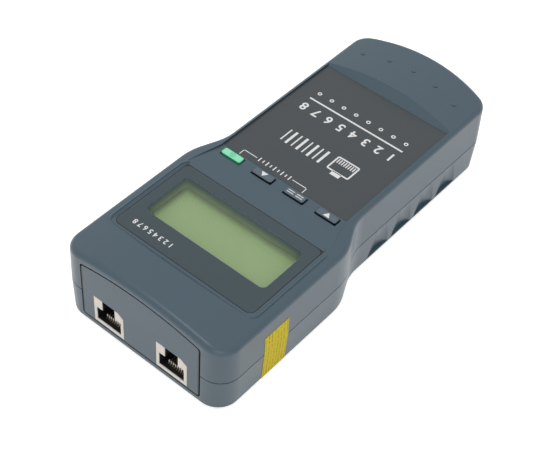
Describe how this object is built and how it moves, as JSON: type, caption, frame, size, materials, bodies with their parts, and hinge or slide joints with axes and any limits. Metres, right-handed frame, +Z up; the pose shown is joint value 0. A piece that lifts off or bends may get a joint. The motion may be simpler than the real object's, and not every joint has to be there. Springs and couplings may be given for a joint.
{
  "type": "network cable tester",
  "caption": "Hand-held network cable tester: crowned case with a waisted grooved handle, tinted display window, push keys and two modular sockets in the end panel.",
  "frame": {"origin": "middle of the footprint, on the surface that the tester lies on", "axes": "+Z up through the display, +Y along the case towards the handle end, -Y out of the modular sockets, +X to the side with the seal"},
  "size_m": [0.0806, 0.1784, 0.038],
  "materials": {
    "casing_front": "moulded, fine satin texture",
    "casing_rear": "moulded, fine satin texture",
    "panel": "moulded, fine texture",
    "window": "tinted acrylic, polished",
    "label": "printed polyester overlay",
    "seal": "vinyl-coated paper seal",
    "key_green": "moulded silicone-coated cap",
    "key_grey": "moulded cap",
    "plunger": "moulded",
    "switch_case": "plated cover",
    "board": "solder-masked glass epoxy",
    "lcd_green": "green reflective liquid crystal cell",
    "bezel": "black frame",
    "light_guide": "diffusing acrylic",
    "strip": "carbon-striped silicone",
    "chip": "moulded epoxy package",
    "can_metal": "drawn can",
    "capacitor": "shrink sleeve",
    "header": "moulded strip with plated pins",
    "socket_shield": "nickel-plated sheet",
    "socket_body": "moulded",
    "contact": "gold-flashed spring wire",
    "battery_jacket": "plain jacket",
    "foam": "closed-cell foam",
    "snap": "vinyl-covered snap plate",
    "lead_red": "insulated wire",
    "lead_black": "insulated wire",
    "screw": "zinc-plated"
  },
  "bodies": {
    "casing": {"front_casing": "casing_front", "rear_casing": "casing_rear", "end_panel": "panel", "display_window": "window", "face_label": "label", "seal_sticker": "seal", "switch_bodies": "switch_case", "display_board": "board", "main_board": "board", "lcd_glass": "lcd_green", "lcd_bezel": "bezel", "lcd_backlight": "light_guide", "contact_strips": "strip", "controller_chip": "chip", "crystal": "can_metal", "capacitors": "capacitor", "board_header": "header", "header_receptacle": "header", "socket_1_shield": "socket_shield", "socket_2_shield": "socket_shield", "socket_1_body": "socket_body", "socket_2_body": "socket_body", "socket_1_contacts": "contact", "socket_2_contacts": "contact", "battery": "battery_jacket", "battery_foam": "foam", "battery_snap": "snap", "red_lead": "lead_red", "black_lead": "lead_black", "case_screws": "screw", "board_screws": "screw", "display_screws": "screw"},
    "power_button": {"power_key": "key_green", "power_plunger": "plunger"},
    "down_button": {"down_key": "key_grey", "down_plunger": "plunger"},
    "pair_button": {"pair_key": "key_grey", "pair_plunger": "plunger"},
    "up_button": {"up_key": "key_grey", "up_plunger": "plunger"},
    "door": {"battery_door": "casing_rear"}
  },
  "joints": [
    {"name": "power_press", "type": "slide", "parent": "casing", "child": "power_button", "axis": [0, 0, -1], "range_m": [0, 0.0004], "stiffness_N_per_m": 400},
    {"name": "down_press", "type": "slide", "parent": "casing", "child": "down_button", "axis": [0, 0, -1], "range_m": [0, 0.0004], "stiffness_N_per_m": 400},
    {"name": "pair_press", "type": "slide", "parent": "casing", "child": "pair_button", "axis": [0, 0, -1], "range_m": [0, 0.0004], "stiffness_N_per_m": 400},
    {"name": "up_press", "type": "slide", "parent": "casing", "child": "up_button", "axis": [0, 0, -1], "range_m": [0, 0.0004], "stiffness_N_per_m": 400},
    {"name": "door_slide", "type": "slide", "parent": "casing", "child": "door", "axis": [0, 1, 0], "range_m": [0, 0.009]}
  ]
}
